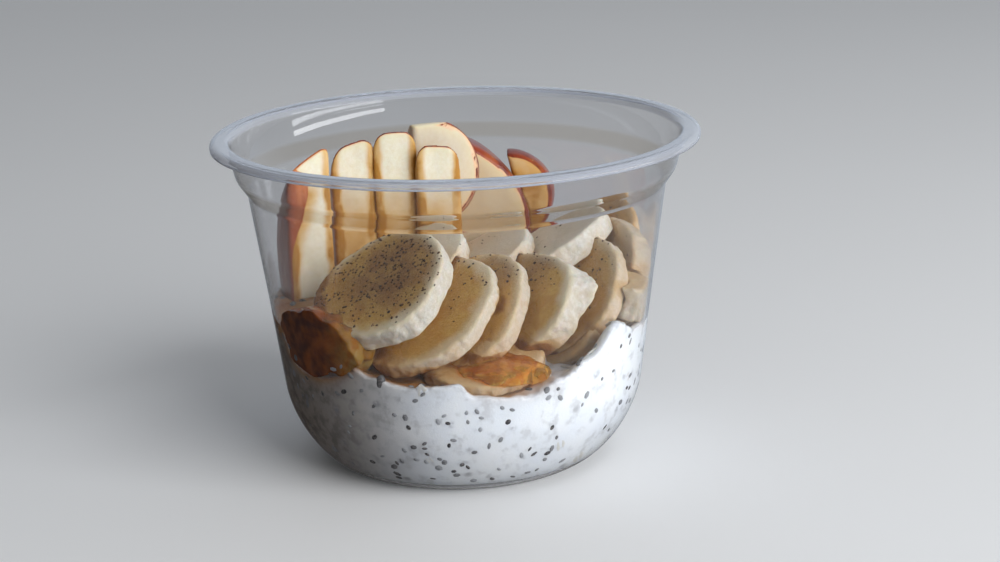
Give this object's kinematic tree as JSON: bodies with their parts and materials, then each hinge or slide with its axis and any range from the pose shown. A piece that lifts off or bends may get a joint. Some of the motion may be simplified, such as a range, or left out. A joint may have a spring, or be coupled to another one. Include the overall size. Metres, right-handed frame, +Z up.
{
  "type": "overnight oats in a clear pot",
  "caption": "Round clear plastic pot with a flat lip, half filled with oats in yogurt with chia seeds, topped with a fan of banana slices, upright apple slices and amber syrup.",
  "frame": {"origin": "centre of the pot's base, on the surface it stands on", "axes": "+Z up; -Y is the front, where the banana fan shows; +X is to the right seen from the front"},
  "size_m": [0.118, 0.118, 0.0809],
  "materials": {
    "clear_plastic": "thin clear moulded plastic, glossy",
    "oat_mix": "moist white yogurt with soaked oat flakes and dark chia seeds",
    "banana": "moist cut banana, tan face and pale rim, with dark spice specks",
    "apple": "moist cut apple, cream flesh with red skin",
    "syrup": "clear amber syrup, glossy"
  },
  "bodies": {
    "root": {"pot": "clear_plastic", "oats": "oat_mix", "banana_1": "banana", "banana_2": "banana", "banana_3": "banana", "banana_4": "banana", "banana_5": "banana", "banana_6": "banana", "banana_7": "banana", "banana_8": "banana", "banana_9": "banana", "banana_10": "banana", "banana_11": "banana", "banana_12": "banana", "banana_13": "banana", "apple_1": "apple", "apple_2": "apple", "apple_3": "apple", "apple_4": "apple", "apple_5": "apple", "apple_6": "apple", "apple_7": "apple", "syrup_front": "syrup", "syrup_left": "syrup"}
  },
  "joints": []
}
